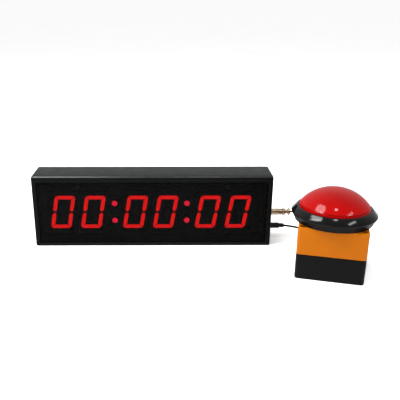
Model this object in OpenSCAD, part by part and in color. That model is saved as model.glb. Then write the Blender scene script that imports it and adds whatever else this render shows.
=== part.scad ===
// Six-digit LED game clock with a separate big-dome push-button station.
// The station's cord plugs into the clock's right-hand end. A second cord,
// with a USB-A plug, brings the power in.
// +X runs along the clock to the right, +Y to its back, +Z up.
// The origin is the centre of the clock's flat underside.

/* [Clock case] */
// Width of the clock case
case_w = 315; // [305:1:340]
// Depth of the clock case, front to back
case_d = 46; // [44:1:70]
// Height of the clock case
case_h = 98; // [96:1:120]
// Wall thickness of the moulded case
wall = 2.5; // [2:0.1:3]
// Width of the frame left and right of the window
border_side = 6; // [4:0.5:8]
// Width of the frame above the window, with its rounded top edge
border_top = 8.5; // [6:0.5:10]
// Width of the frame below the window
border_bottom = 4.5; // [4:0.5:8]
// Rounding of the front top edge
top_round = 4; // [2:0.5:4]
// Thickness of the smoked front window
window_t = 3; // [2:0.5:3]

/* [Digits] */
// Height of a lit digit
digit_h = 45.8; // [40:0.1:48]
// Width of a lit digit, measured level
digit_w = 27.2; // [24:0.1:30]
// Width of one segment's stroke
stroke = 5; // [4.5:0.1:6.5]
// Slant of the digits, in degrees
slant = 10; // [0:1:12]
// Distance between the two digits of a pair
digit_pitch = 40.1; // [39:0.1:42]
// Extra distance between two pairs, where the colon stands
pair_gap = 16; // [13:0.5:18]
// Position of the first digit's centre
first_digit_x = -119.2; // [-122:0.1:-117]
// Height of the digits' centre above the base
digit_z = 46.7; // [44:0.1:50]
// Diameter of a colon lamp
colon_d = 7.6; // [5:0.1:8]

/* [Button station] */
// Side of the square station box
box_w = 80; // [78:1:96]
// Height of the black lower half
base_h = 32; // [30:0.5:36]
// Height of the coloured upper half
cover_h = 33.5; // [32:0.5:40]
// Position of the station along X
station_x = 219.5; // [218:0.5:240]
// Position of the station along Y
station_y = -88; // [-100:1:-86]
// Turn of the station about the vertical, in degrees
station_yaw = -14.8; // [-16:0.1:-10]
// Outer radius of the black bezel ring
bezel_r = 50.5; // [50:0.5:52]
// Radius of the red dome at its edge
dome_r = 41.4; // [40:0.1:41.5]
// Radius of the sphere that the dome is cut from
dome_sphere_r = 52.4; // [50:0.1:56]
// Press travel of the dome
travel = 4; // [2:0.5:4]

/* [Cords] */
// Diameter of the button cord
trigger_d = 2.2; // [2:0.1:3]
// Diameter of the power cord
power_d = 2.8; // [2.4:0.1:3.2]
// Height of the button socket on the clock's end
trigger_z = 40.1; // [34:0.1:44]
// Height of the power socket on the clock's end
power_z = 20; // [16:0.1:22]

/* [Hidden] */
$fn = 64;
e = 0.01;
hx = case_w/2;
hy = case_d/2;
lip = 1.2;                                  // front lip in front of the window
win_y0 = -hy + lip;                         // front face of the window
face_y = win_y0 + window_t + 1.5;           // front face of the digits
body_d = 10.8;                              // depth of a digit body
seg_d = 9;                                  // depth of the light wells
pcb_y = face_y + body_d;                    // front face of the board
pcb_t = 1.6;
rear_t = 2.5;                               // rear cover thickness
rear_y = hy - rear_t;                       // its inner face
digit_x = [for (i = [0:5]) first_digit_x + i*digit_pitch + floor(i/2)*pair_gap];
colon_x = [(digit_x[1] + digit_x[2])/2 + 0.5, (digit_x[3] + digit_x[4])/2 + 0.2];
boss_x = [-hx + 6.5, 0, hx - 6.5];
boss_z = [5.5, case_h - 5.5];
board_w = 288;
board_h = 70;
stand_x = [-100, 100];
stand_z = [15.2, 79];

bh = box_w/2;
top_z = base_h + cover_h;                   // top face of the station box
rim_z = top_z + 10.5;                       // height of the bezel's widest line
lip_z = top_z + 16.4;                       // height of the bezel's inner lip
dome_edge_z = top_z + 18.6;                 // height where the dome's curve meets its upright skirt
dome_c = dome_edge_z - sqrt(pow(dome_sphere_r, 2) - pow(dome_r, 2));
disc_z = lip_z - 4.0;                 // top of the plunger disc
stem_end = top_z - 27.5;                    // lower end of the plunger stem
barrel_end = top_z - 21.5;
screw_off = bh - 6;
sw_x = 10.6;                                // microswitch centre line
sw_top = 33;
lever_z = 33.7;
lever_a = 11.3;

// ---------- shared shapes ----------

// flat rounded rectangle about the origin
module rrect(w, h, r) {
  square([w - 2*r, h], center = true);
  square([w, h - 2*r], center = true);
  for (sx = [-1, 1], sy = [-1, 1]) translate([sx*(w/2 - r), sy*(h/2 - r)]) circle(r);
}
// the sliver that rounds a square corner at the origin of the first quadrant
module corner_cut(r) difference() {
  translate([-1, -1]) square([r + 1, r + 1]);
  translate([r, r]) circle(r);
}
// solid with an XZ outline, from y0 to y1
module along_y(y0, y1) translate([0, y1, 0]) rotate([90, 0, 0]) linear_extrude(y1 - y0) children();
// solid with a YZ outline, from x0 to x1
module along_x(x0, x1) translate([x0, 0, 0]) rotate([90, 0, 90]) linear_extrude(x1 - x0) children();
// round bar along X
module bar_x(x0, x1, r, y = 0, z = 0) translate([x0, y, z]) rotate([0, 90, 0]) cylinder(h = x1 - x0, r = r);
module cone_x(x0, x1, r0, r1, y = 0, z = 0) translate([x0, y, z]) rotate([0, 90, 0]) cylinder(h = x1 - x0, r1 = r0, r2 = r1);
// round bar along Y
module bar_y(x, z, y0, y1, r) translate([x, y0, z]) rotate([-90, 0, 0]) cylinder(h = y1 - y0, r = r);
module cone_y(x, z, y0, y1, r0, r1) translate([x, y0, z]) rotate([-90, 0, 0]) cylinder(h = y1 - y0, r1 = r0, r2 = r1);
module block(a, b) translate(a) cube([b[0] - a[0], b[1] - a[1], b[2] - a[2]]);
module ring_z(z0, z1, ro, ri) translate([0, 0, z0]) difference() {
  cylinder(h = z1 - z0, r = ro);
  translate([0, 0, -1]) cylinder(h = z1 - z0 + 2, r = ri);
}
module at_station() translate([station_x, station_y, 0]) rotate([0, 0, station_yaw]) children();

// ---------- swept tube along hand-placed points ----------
function unit(v) = v/norm(v);
function cr(a, b, c, d, t) = 0.5*((2*b) + (c - a)*t + (2*a - 5*b + 4*c - d)*t*t + (3*b - a - 3*c + d)*t*t*t);
// points on the smooth curve through p[1] .. p[n-2]
function curve(p, k) = concat([for (i = [1:len(p) - 3], j = [0:k - 1]) cr(p[i-1], p[i], p[i+1], p[i+2], j/k)], [p[len(p) - 2]]);
function tang(q, first, last, i) = i == 0 ? first : i == len(q) - 1 ? last : unit(q[i+1] - q[i-1]);
module tube(p, k, r, n, first, last) {
  q = curve(p, k);
  m = len(q);
  pts = [for (i = [0:m - 1]) let (t = tang(q, first, last, i), a = unit(cross(t, [0, 0, 1])), b = cross(t, a))
    for (j = [0:n - 1]) q[i] + r*(a*cos(360*j/n) + b*sin(360*j/n))];
  faces = concat(
    [[for (j = [n - 1:-1:0]) j]],
    [for (i = [0:m - 2], j = [0:n - 1]) let (j2 = (j + 1)%n) [i*n + j, i*n + j2, (i + 1)*n + j2]],
    [for (i = [0:m - 2], j = [0:n - 1]) let (j2 = (j + 1)%n) [i*n + j, (i + 1)*n + j2, (i + 1)*n + j]],
    [[for (j = [0:n - 1]) (m - 1)*n + j]]);
  polyhedron(pts, faces, convexity = 10);
}

// ---------- clock ----------
module case_outline() difference() {
  translate([-hy, 0]) square([case_d, case_h]);
  translate([-hy, case_h]) mirror([0, 1]) corner_cut(top_round);
  translate([-hy, 0]) corner_cut(1.6);
  translate([hy, case_h]) mirror([1, 0]) mirror([0, 1]) corner_cut(2);
  translate([hy, 0]) mirror([1, 0]) corner_cut(1.6);
}
module case_housing() color([0.13, 0.135, 0.14]) difference() {
  union() {
    difference() {
      intersection() {
        along_x(-hx, hx) case_outline();
        along_y(-hy - 1, hy + 1) translate([0, case_h/2]) rrect(case_w, case_h, 2.4);
      }
      block([-hx + wall, win_y0, wall], [hx - wall, hy + 1, case_h - wall]);
      block([-hx + border_side, -hy - 1, border_bottom], [hx - border_side, win_y0 + 1, case_h - border_top]);
    }
    for (x = boss_x, z = boss_z) bar_y(x, z, win_y0 + window_t + 0.5, rear_y, 3.5);
  }
  for (x = boss_x, z = boss_z) bar_y(x, z, 8, rear_y + 1, 1.25);
  bar_x(hx - wall - 1, hx + 1, 4.1, 0, trigger_z);
  bar_x(hx - wall - 1, hx + 1, 4.7, 0, power_z);
}
module front_window() color([0.05, 0.03, 0.035])
  block([-hx + wall + 0.2, win_y0, wall + 0.2], [hx - wall - 0.2, win_y0 + window_t, case_h - wall - 0.2]);
module rear_cover() color([0.12, 0.12, 0.125]) difference() {
  block([-hx + wall + 0.2, rear_y, wall + 0.2], [hx - wall - 0.2, hy, case_h - wall - 0.2]);
  for (x = boss_x, z = boss_z) {
    bar_y(x, z, rear_y - 1, hy + 1, 1.6);
    cone_y(x, z, hy - 1.5, hy + e, 1.5, 3.05);
  }
  for (x = stand_x, z = stand_z) bar_y(x, z, rear_y - 1, hy + 1, 1.6);
  for (x = [-70, 70]) bar_y(x, 70, rear_y - 1, hy + 1, 2.25);
  for (i = [-3:3]) block([60 + i*5 - 1, rear_y - 1, 24], [60 + i*5 + 1, hy + 1, 36]);
}
module rear_cover_screws() color([0.55, 0.55, 0.56]) for (x = boss_x, z = boss_z) difference() {
  union() {
    cone_y(x, z, hy - 1.5, hy, 1.45, 3);
    bar_y(x, z, 11, hy - 1.4, 1.25);
  }
  block([x - 2.2, hy - 0.7, z - 0.35], [x + 2.2, hy + 1, z + 0.35]);
  block([x - 0.35, hy - 0.7, z - 2.2], [x + 0.35, hy + 1, z + 2.2]);
}
module display_board() color([0.05, 0.3, 0.14]) difference() {
  block([-board_w/2, pcb_y, 47.1 - board_h/2], [board_w/2, pcb_y + pcb_t, 47.1 + board_h/2]);
  for (x = stand_x, z = stand_z) bar_y(x, z, pcb_y - 1, pcb_y + pcb_t + 1, 1.6);
}
// outline of one segment, upright, before the slant
a_r = 4.5;
function arc(cx, cz, r, a0, a1, n = 5) = [for (i = [0:n]) let (a = a0 + (a1 - a0)*i/n) [cx + r*cos(a), cz + r*sin(a)]];
function top_bar(w, h, t) = concat([[-w + t + 0.4, h - t]], arc(-w + a_r, h - a_r, a_r, 132, 90), arc(w - a_r, h - a_r, a_r, 90, 48), [[w - t - 0.4, h - t]]);
function upper_left(w, h, t) = concat([[-w + t, h - t - 0.4]], arc(-w + a_r, h - a_r, a_r, 138, 180), [[-w, 3.0], [-w + t/2, 0.9], [-w + t, 3.0]]);
function middle_bar(w, t) = [[-w + t/2 + 1, 0], [-w + t + 0.7, 2.6], [w - t - 0.7, 2.6], [w - t/2 - 1, 0], [w - t - 0.7, -2.6], [-w + t + 0.7, -2.6]];
function slanted(p, sx, sz) = [for (q = p) [sx*q[0] + sz*q[1]*tan(slant), sz*q[1]]];
module outer_segments() {
  w = digit_w/2; h = digit_h/2;
  for (sz = [-1, 1]) polygon(slanted(top_bar(w, h, stroke), 1, sz));
  for (sx = [-1, 1], sz = [-1, 1]) polygon(slanted(upper_left(w, h, stroke), sx, sz));
}
module middle_segment() polygon(slanted(middle_bar(digit_w/2, stroke), 1, 1));
module digit_body(i) color([0.06, 0.06, 0.065]) difference() {
  block([digit_x[i] - 19, face_y, digit_z - 28.5], [digit_x[i] + 19, pcb_y, digit_z + 28.5]);
  translate([digit_x[i], 0, digit_z]) along_y(face_y - 1, face_y + seg_d) { outer_segments(); middle_segment(); }
}
module digit_segments(i) color([0.85, 0.08, 0.08])
  translate([digit_x[i], 0, digit_z]) along_y(face_y, face_y + seg_d) outer_segments();
module digit_middle_bars() color([0.16, 0.05, 0.05]) for (i = [0:5])
  translate([digit_x[i], 0, digit_z]) along_y(face_y, face_y + seg_d) middle_segment();
module colon_lamps() color([0.8, 0.1, 0.16]) for (x = colon_x, s = [-1, 1]) {
  bar_y(x, digit_z + s*12, face_y + 3.2, pcb_y, colon_d/2);
  translate([x, face_y + 3.2, digit_z + s*12]) sphere(colon_d/2);
}
module driver_chips() color([0.07, 0.07, 0.07]) for (x = [-110, -30, 50])
  block([x - 9, pcb_y + pcb_t, 43], [x + 9, pcb_y + pcb_t + 2.6, 51]);
module board_standoffs() color([0.75, 0.62, 0.3]) for (x = stand_x, z = stand_z) difference() {
  translate([x, pcb_y + pcb_t, z]) rotate([-90, 0, 0]) cylinder(h = rear_y - pcb_y - pcb_t, r = 2.9, $fn = 6);
  bar_y(x, z, pcb_y + pcb_t - 1, pcb_y + pcb_t + 8, 1.25);
  bar_y(x, z, rear_y - 8, rear_y + 1, 1.25);
}
module board_screws() color([0.6, 0.6, 0.62]) for (x = stand_x, z = stand_z) {
  bar_y(x, z, pcb_y - 2, pcb_y, 2.7);
  bar_y(x, z, pcb_y - e, pcb_y + pcb_t + 6, 1.25);
  bar_y(x, z, rear_y - 6, hy + e, 1.25);
  bar_y(x, z, hy, hy + 1.8, 2.7);
}
module buzzer() color([0.06, 0.06, 0.06]) difference() {
  bar_y(60, 30, pcb_y + pcb_t, pcb_y + pcb_t + 9.5, 6);
  bar_y(60, 30, pcb_y + pcb_t + 7.5, pcb_y + pcb_t + 10, 1.2);
}
module cell_holder() color([0.1, 0.1, 0.1]) difference() {
  bar_y(-75, 34, pcb_y + pcb_t, pcb_y + pcb_t + 4.4, 12);
  bar_y(-75, 34, pcb_y + pcb_t + 1, pcb_y + pcb_t + 5, 10.1);
}
module coin_cell() color([0.75, 0.75, 0.76]) bar_y(-75, 34, pcb_y + pcb_t + 1, pcb_y + pcb_t + 4.2, 10);
module remote_sensor() color([0.09, 0.05, 0.07]) {
  block([137, face_y + 4, 74], [143, face_y + 8, 81.5]);
  intersection() {
    translate([140, face_y + 4, 77.6]) sphere(2.6);
    block([136, face_y, 74], [144, face_y + 4 + e, 82]);
  }
  for (dx = [-1.6, 0, 1.6]) block([140 + dx - 0.3, face_y + 6, 74.5], [140 + dx + 0.3, pcb_y, 75.1]);
}

// ---------- sockets on the clock's right-hand end ----------
module power_jack() color([0.06, 0.06, 0.06]) difference() {
  union() {
    block([hx - wall - 11, -5.5, power_z - 5.5], [hx - wall, 5.5, power_z + 5.5]);
    bar_x(hx - wall - e, hx, 4.6, 0, power_z);
  }
  difference() {
    bar_x(hx - wall - 7.3, hx + 1, 2.85, 0, power_z);
    bar_x(hx - wall - 8, hx - 0.5, 1.0, 0, power_z);
  }
}
module trigger_jack() color([0.62, 0.55, 0.45]) difference() {
  union() {
    bar_x(hx - wall - 12, hx - wall - 3.2, 4.6, 0, trigger_z);
    bar_x(hx - wall - 3.3, hx, 4.0, 0, trigger_z);
    bar_x(hx - e, hx + 6, 3.4, 0, trigger_z);
  }
  bar_x(hx + 0.5, hx + 7, 2.6, 0, trigger_z);
}
module trigger_jack_nut() color([0.65, 0.6, 0.5]) difference() {
  translate([hx - wall - 3.1, 0, trigger_z]) rotate([0, 90, 0]) cylinder(h = 3.1, r = 6.4, $fn = 6);
  bar_x(hx - wall - 4, hx - wall + 1, 4.0, 0, trigger_z);
}

// ---------- button station ----------
module box_outline(w) rrect(w, w, 4);
module station_base() color([0.11, 0.115, 0.12]) at_station() difference() {
  union() {
    difference() {
      union() {
        translate([0, 0, 1]) linear_extrude(base_h - 1) box_outline(box_w);
        linear_extrude(1 + e) box_outline(box_w - 1.6);
      }
      translate([-bh + 3, -bh + 3, 3]) cube([box_w - 6, box_w - 6, base_h]);
    }
    for (sx = [-1, 1], sy = [-1, 1]) translate([sx*screw_off, sy*screw_off, 2]) cylinder(h = base_h - 2, r = 5);
  }
  // groove for the seal
  translate([0, 0, base_h - 1]) linear_extrude(2) difference() {
    square(box_w - 2.2, center = true);
    square(box_w - 4.6, center = true);
  }
  for (sx = [-1, 1], sy = [-1, 1]) translate([sx*screw_off, sy*screw_off, 12]) cylinder(h = base_h, r = 1.6);
  for (a = [0:90:270]) rotate([0, 0, a]) translate([31, 0, -1]) cylinder(h = 6, r = 2.2);
  bar_y(0, 17, bh - 4, bh + 1, 4);
}
module cover_gasket() color([0.08, 0.08, 0.08]) at_station() translate([0, 0, base_h - 1]) linear_extrude(1) difference() {
  square(box_w - 2.2, center = true);
  square(box_w - 4.6, center = true);
}
module station_cover() color([0.93, 0.48, 0.05]) at_station() difference() {
  union() {
    difference() {
      union() {
        translate([0, 0, base_h]) linear_extrude(cover_h - 0.8) box_outline(box_w);
        translate([0, 0, top_z - 0.81]) linear_extrude(0.81) box_outline(box_w - 1.2);
      }
      translate([-bh + 3, -bh + 3, base_h - 1]) cube([box_w - 6, box_w - 6, cover_h - 2]);
    }
    for (sx = [-1, 1], sy = [-1, 1]) translate([sx*screw_off, sy*screw_off, base_h]) cylinder(h = cover_h - 1, r = 5);
  }
  for (sx = [-1, 1], sy = [-1, 1]) translate([sx*screw_off, sy*screw_off, 0]) {
    cylinder(h = top_z + 1, r = 2.1);
    translate([0, 0, top_z - 5]) cylinder(h = 6, r = 3.8);
  }
  translate([0, 0, top_z - 6]) cylinder(h = 8, r = 18.2);
}
module cover_screws() color([0.6, 0.6, 0.6]) at_station() for (sx = [-1, 1], sy = [-1, 1])
  translate([sx*screw_off, sy*screw_off, 0]) difference() {
    union() {
      translate([0, 0, top_z - 5]) cylinder(h = 2.4, r = 3.4);
      translate([0, 0, 16]) cylinder(h = top_z - 5 - 16 + e, r = 1.6);
    }
    translate([-2.2, -0.4, top_z - 3.6]) cube([4.4, 0.8, 2]);
    translate([-0.4, -2.2, top_z - 3.6]) cube([0.8, 4.4, 2]);
  }
module bezel_barrel() color([0.09, 0.09, 0.095]) at_station() rotate_extrude($fn = 128) difference() {
  union() {
    polygon([[10, top_z], [46, top_z], [46, top_z + 3.6], [bezel_r - 0.6, rim_z - 1.8], [bezel_r, rim_z - 1], [bezel_r, rim_z],
      [bezel_r - 0.6, rim_z + 0.7], [43.3, lip_z - 0.2], [42.6, lip_z], [10, lip_z]]);
    translate([10, barrel_end]) square([8, top_z - barrel_end + 1]);
  }
  translate([0, top_z + 3]) square([dome_r + 0.5, 40]);
  translate([0, barrel_end + 8]) square([15.5, 60]);
}
module dome_lens() color([0.85, 0.05, 0.04]) at_station() rotate_extrude($fn = 128) difference() {
  union() {
    intersection() {
      translate([0, dome_c]) circle(dome_sphere_r, $fn = 180);
      translate([0, dome_edge_z]) square([dome_r, 60]);
    }
    translate([0, disc_z]) square([dome_r, dome_edge_z - disc_z + e]);
  }
  intersection() {
    translate([0, dome_c]) circle(dome_sphere_r - 2.2, $fn = 180);
    translate([-e, disc_z - 1]) square([dome_r - 2.2 + e, 60]);
  }
  translate([-1, disc_z - 1]) square([dome_r - 2.2 + 1, dome_edge_z - disc_z + 1]);
  translate([-100, 0]) square([100, 200]);
}
module dome_plunger() color([0.9, 0.9, 0.88]) at_station() rotate_extrude($fn = 96) {
  translate([7.5, disc_z - 2]) square([dome_r - 7.7, 2]);
  translate([7.5, stem_end]) square([2.45, disc_z - stem_end - 1]);
  translate([dome_r - 4.6, disc_z - e]) square([2, 2.4]);
}
spring_r = 12.8;
spring_w = 0.7;
spring_z0 = barrel_end + 8 + spring_w;
spring_z1 = disc_z - 2 - spring_w;
module return_spring() color([0.7, 0.7, 0.72]) at_station() {
  turns = 6; k = 22; n = 8; m = turns*k;
  pts = [for (i = [0:m]) let (a = 360*i/k, f = min(1, max(0, (i/k - 0.8)/(turns - 1.6))), z = spring_z0 + (spring_z1 - spring_z0)*f)
    for (j = [0:n - 1]) [(spring_r + spring_w*cos(360*j/n))*cos(a), (spring_r + spring_w*cos(360*j/n))*sin(a), z + spring_w*sin(360*j/n)]];
  faces = concat(
    [[for (j = [0:n - 1]) j]],
    [for (i = [0:m - 1], j = [0:n - 1]) let (j2 = (j + 1)%n) [i*n + j, (i + 1)*n + j2, i*n + j2]],
    [for (i = [0:m - 1], j = [0:n - 1]) let (j2 = (j + 1)%n) [i*n + j, (i + 1)*n + j, (i + 1)*n + j2]],
    [[for (j = [n - 1:-1:0]) m*n + j]]);
  polyhedron(pts, faces, convexity = 10);
}
module mounting_nut() color([0.1, 0.1, 0.1]) at_station() translate([0, 0, top_z - 9]) difference() {
  cylinder(h = 6, r = 26, $fn = 8);
  translate([0, 0, -1]) cylinder(h = 8, r = 18.06, $fn = 128);
}
module lamp_holder() color([0.85, 0.85, 0.82]) at_station() {
  ring_z(barrel_end - 3, barrel_end + 6, 20.6, 18.06, $fn = 128);
  for (s = [-1, 1]) block([-5, s*19.4 - 1.2, 13], [5, s*19.4 + 1.2, barrel_end + 1]);
  block([-9, -20.6, 13], [16.4, 20.6, 17]);
  translate([0, 0, 16]) cylinder(h = 30, r = 4.6);
}
module lamp() color([0.95, 0.95, 0.85]) at_station() {
  translate([0, 0, 46]) cylinder(h = 7, r = 4.4);
  translate([0, 0, 53 - e]) cylinder(h = 3, r = 3.2);
  translate([0, 0, 56]) sphere(3.2);
}
module microswitch_body() color([0.12, 0.12, 0.13]) at_station() difference() {
  union() {
    block([sw_x - 5, -14, 17], [sw_x + 5, 14, sw_top]);
    // two lugs that carry the lever's pin
    for (x = [5.7, 10.9]) block([x, -12.9, sw_top - 1], [x + 0.8, -11.1, lever_z + 0.9]);
  }
  block([7.6, -5.75, 28.5], [9.8, -2.25, sw_top + 1]);
  bar_x(5, 12, 0.34, -12, lever_z);
}
module microswitch_lever() color([0.75, 0.75, 0.77]) at_station() translate([0, -12, lever_z]) rotate([lever_a, 0, 0]) {
  block([6.7, 0, -0.25], [10.7, 25, 0.25]);
  bar_x(6.7, 10.7, 0.55);
  bar_x(5.75, 11.65, 0.3);
}
module microswitch_button() color([0.75, 0.1, 0.1]) at_station() block([7.7, -5.6, 30.5], [9.7, -2.4, 34.68]);
module microswitch_terminals() color([0.8, 0.66, 0.35]) at_station() for (y = [-10, 0, 10])
  block([sw_x + 5, y - 2.4, 19.6], [sw_x + 12, y + 2.4, 20.4]);
module cord_grommet() color([0.06, 0.06, 0.06]) at_station() difference() {
  union() {
    bar_y(0, 17, bh - 5.5, bh - 3, 5.4);
    bar_y(0, 17, bh - 3 - e, bh + e, 3.9);
    bar_y(0, 17, bh, bh + 2.4, 6);
    cone_y(0, 17, bh + 2.4 - e, bh + 14, 3.8, 2.0);
  }
  bar_y(0, 17, bh - 7, bh + 15, trigger_d/2 + 0.05);
}

// ---------- button cord ----------
module coupling_sleeve() color([0.66, 0.56, 0.44]) difference() {
  bar_x(hx + 0.3, hx + 17.5, 4.5, 0, trigger_z);
  bar_x(hx - 1, hx + 8.5, 3.7, 0, trigger_z);
  bar_x(hx + 8, hx + 18, 3.35, 0, trigger_z);
}
module trigger_plug_body() color([0.66, 0.56, 0.44]) {
  bar_x(hx + 6.2, hx + 18, 3.3, 0, trigger_z);
  bar_x(hx + 1, hx + 6.3, 2.4, 0, trigger_z);
  cone_x(hx + 17.9, hx + 18.7, 4.2, 4.75, 0, trigger_z);
  bar_x(hx + 18.6, hx + 21.6, 4.75, 0, trigger_z);
  cone_x(hx + 21.5, hx + 22.3, 4.75, 4.2, 0, trigger_z);
  bar_x(hx + 22, hx + 26, 3.0, 0, trigger_z);
}
module trigger_plug_collar() color([0.62, 0.53, 0.42]) {
  bar_x(hx + 26, hx + 28.4, 5.4, 0, trigger_z);
  cone_x(hx + 28.3, hx + 30.1, 4.2, 1.7, 0, trigger_z);
}
coil_a = [256, 28];                          // centre of the button cord's coil
coil_a_r = 16;
trigger_in = [[hx + 21, 0, trigger_z], [hx + 30.1, 0, trigger_z], [hx + 39, 0.5, trigger_z - 0.3],
  [206.5, 2.8, 36.2], [217.5, 7, 28.7], [228, 13, 18.5], [235.5, 19.5, 10.8], [coil_a[0] - coil_a_r, coil_a[1] - 0.5, 7.7], [coil_a[0] - coil_a_r + 0.6, coil_a[1] + 9, 7.7]];
module trigger_cord_clock_end() color([0.05, 0.05, 0.05])
  tube(trigger_in, 3, trigger_d/2, 8, [1, 0, 0], [0, 1, 0]);
// ring that the wound turns fill
module coil(c, r, w, h) translate([c[0], c[1], h/2]) rotate_extrude($fn = 96) translate([r, 0]) rrect(w, h, 1.8);
module trigger_cord_coil() color([0.05, 0.05, 0.05]) coil(coil_a, coil_a_r, 4*trigger_d + 0.2, 4*trigger_d + 0.1);
ex = [station_x - sin(station_yaw)*(bh + 14), station_y + cos(station_yaw)*(bh + 14)];
ed = [-sin(station_yaw), cos(station_yaw), 0];
trigger_out = [[ex[0] - ed[0]*10, ex[1] - ed[1]*10, 17], [ex[0], ex[1], 17], [ex[0] + ed[0]*8, ex[1] + ed[1]*8, 16],
  [238.8, -18, 11.6], [240.4, -7, 6], [244, 3.5, 2.4], [249.5, 10, 1.3], [coil_a[0], coil_a[1] - coil_a_r, 1.15], [264, 13.2, 1.15]];
module trigger_cord_station_end() color([0.05, 0.05, 0.05])
  tube(trigger_out, 3, trigger_d/2, 8, ed, [1, 0, 0]);

// ---------- power cord ----------
module power_plug() color([0.05, 0.05, 0.05]) {
  cone_x(hx + 0.3, hx + 1.1, 3.6, 4.1, 0, power_z);
  bar_x(hx + 1, hx + 14.6, 4.1, 0, power_z);
  cone_x(hx + 14.5, hx + 15.8, 4.1, 2.9, 0, power_z);
  bar_x(hx + 15.7, hx + 16.6, 2.6, 0, power_z);
  for (i = [0:2]) {
    bar_x(hx + 16.6 - e + i*1.8, hx + 17.6 + i*1.8, 3.2 - i*0.35, 0, power_z);
    bar_x(hx + 17.6 - e + i*1.8, hx + 18.4 + i*1.8, 2.5 - i*0.25, 0, power_z);
  }
}
module power_plug_barrel() color([0.75, 0.75, 0.76]) difference() {
  bar_x(hx - wall - 6.5, hx + 0.3, 2.75, 0, power_z);
  bar_x(hx - wall - 8, hx - 0.3, 1.1, 0, power_z);
}
coil_b = [262, 76];                          // centre of the power cord's coil
coil_b_r = 17;
power_in = [[hx + 12, 0, power_z + 0.6], [hx + 22, 0, power_z], [190, -0.4, 18.4], [201, -0.6, 16.2], [211, 2, 12.6], [218.5, 10, 7.9],
  [222, 23, 3.9], [224, 38, 2.6], [229.5, 52, 3.6], [238, 63.5, 5.6], [coil_b[0] - coil_b_r, coil_b[1] - 0.5, 7.0], [coil_b[0] - coil_b_r + 0.6, coil_b[1] + 9, 7.0]];
module power_cord_clock_end() color([0.05, 0.05, 0.05])
  tube(power_in, 3, power_d/2, 8, [1, 0, 0], [0, 1, 0]);
module power_cord_coil() color([0.05, 0.05, 0.05]) coil(coil_b, coil_b_r, 4*power_d + 0.2, 3*power_d + 0.1);
usb_p = [301, 80];
usb_a = -106;                                // heading of the plug
usb_z = 4.4;
ud = [cos(usb_a), sin(usb_a), 0];
power_out = [[coil_b[0] - 8, coil_b[1] + coil_b_r - 1.8, 1.45], [coil_b[0], coil_b[1] + coil_b_r, 1.45], [272, 94.2, 1.5], [283, 95.5, 2.0], [293, 93.6, 3.2], [299.2, 88.5, 4.2],
  [usb_p[0], usb_p[1], usb_z], [usb_p[0] + ud[0]*9, usb_p[1] + ud[1]*9, usb_z]];
module power_cord_usb_end() color([0.05, 0.05, 0.05])
  tube(power_out, 3, power_d/2, 8, [1, 0, 0], ud);
module at_usb() translate([usb_p[0], usb_p[1], usb_z]) rotate([0, 0, usb_a]) children();
module usb_grip() color([0.05, 0.05, 0.05]) at_usb() difference() {
  union() {
    cone_x(0, 6.1, 2.4, 3.4);
    along_x(6, 32) rrect(15.6, 8.2, 2);
  }
  along_x(31, 33) square([12.1, 4.6], center = true);
}
module usb_shell() color([0.8, 0.8, 0.82]) at_usb() {
  difference() {
    along_x(31, 47) square([12, 4.5], center = true);
    along_x(32, 48) square([11.4, 3.9], center = true);
    for (s = [-1, 1]) block([39, s*3 - 1.1, 1], [41.4, s*3 + 1.1, 3]);
  }
  block([31.5, -5.6, -1.95], [46, 5.6, 0]);
}

case_housing();
front_window();
rear_cover();
rear_cover_screws();
display_board();
digit_body(0);  // digit_body_1
digit_body(1);  // digit_body_2
digit_body(2);  // digit_body_3
digit_body(3);  // digit_body_4
digit_body(4);  // digit_body_5
digit_body(5);  // digit_body_6
digit_segments(0);  // digit_segments_1
digit_segments(1);  // digit_segments_2
digit_segments(2);  // digit_segments_3
digit_segments(3);  // digit_segments_4
digit_segments(4);  // digit_segments_5
digit_segments(5);  // digit_segments_6
digit_middle_bars();
colon_lamps();
driver_chips();
board_standoffs();
board_screws();
buzzer();
cell_holder();
coin_cell();
remote_sensor();
power_jack();
trigger_jack();
trigger_jack_nut();
station_base();
station_cover();
cover_gasket();
cover_screws();
bezel_barrel();
dome_lens();
dome_plunger();
return_spring();
mounting_nut();
lamp_holder();
lamp();
microswitch_body();
microswitch_lever();
microswitch_button();
microswitch_terminals();
cord_grommet();
coupling_sleeve();
trigger_plug_body();
trigger_plug_collar();
trigger_cord_clock_end();
trigger_cord_coil();
trigger_cord_station_end();
power_plug();
power_plug_barrel();
power_cord_clock_end();
power_cord_coil();
power_cord_usb_end();
usb_grip();
usb_shell();
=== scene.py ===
import math
import bpy
import bmesh
from mathutils import Matrix, Vector


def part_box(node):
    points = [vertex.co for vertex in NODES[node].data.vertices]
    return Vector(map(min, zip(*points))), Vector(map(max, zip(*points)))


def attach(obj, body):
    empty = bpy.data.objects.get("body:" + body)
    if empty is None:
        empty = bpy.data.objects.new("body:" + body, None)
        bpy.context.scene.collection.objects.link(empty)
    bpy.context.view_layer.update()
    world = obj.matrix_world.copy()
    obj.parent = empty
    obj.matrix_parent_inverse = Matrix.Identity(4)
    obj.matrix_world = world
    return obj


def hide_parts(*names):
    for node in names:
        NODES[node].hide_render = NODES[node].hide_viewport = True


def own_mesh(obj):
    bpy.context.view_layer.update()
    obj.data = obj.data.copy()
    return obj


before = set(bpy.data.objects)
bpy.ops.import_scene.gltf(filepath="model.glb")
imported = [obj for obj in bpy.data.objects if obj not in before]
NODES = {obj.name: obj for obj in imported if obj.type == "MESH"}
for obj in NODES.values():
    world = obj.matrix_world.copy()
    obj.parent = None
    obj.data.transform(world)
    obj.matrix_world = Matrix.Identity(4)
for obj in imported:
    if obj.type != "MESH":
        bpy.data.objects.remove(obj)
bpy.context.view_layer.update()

ROOT = "clock_and_station"
MM = 0.001
COL = bpy.context.scene.collection

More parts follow.
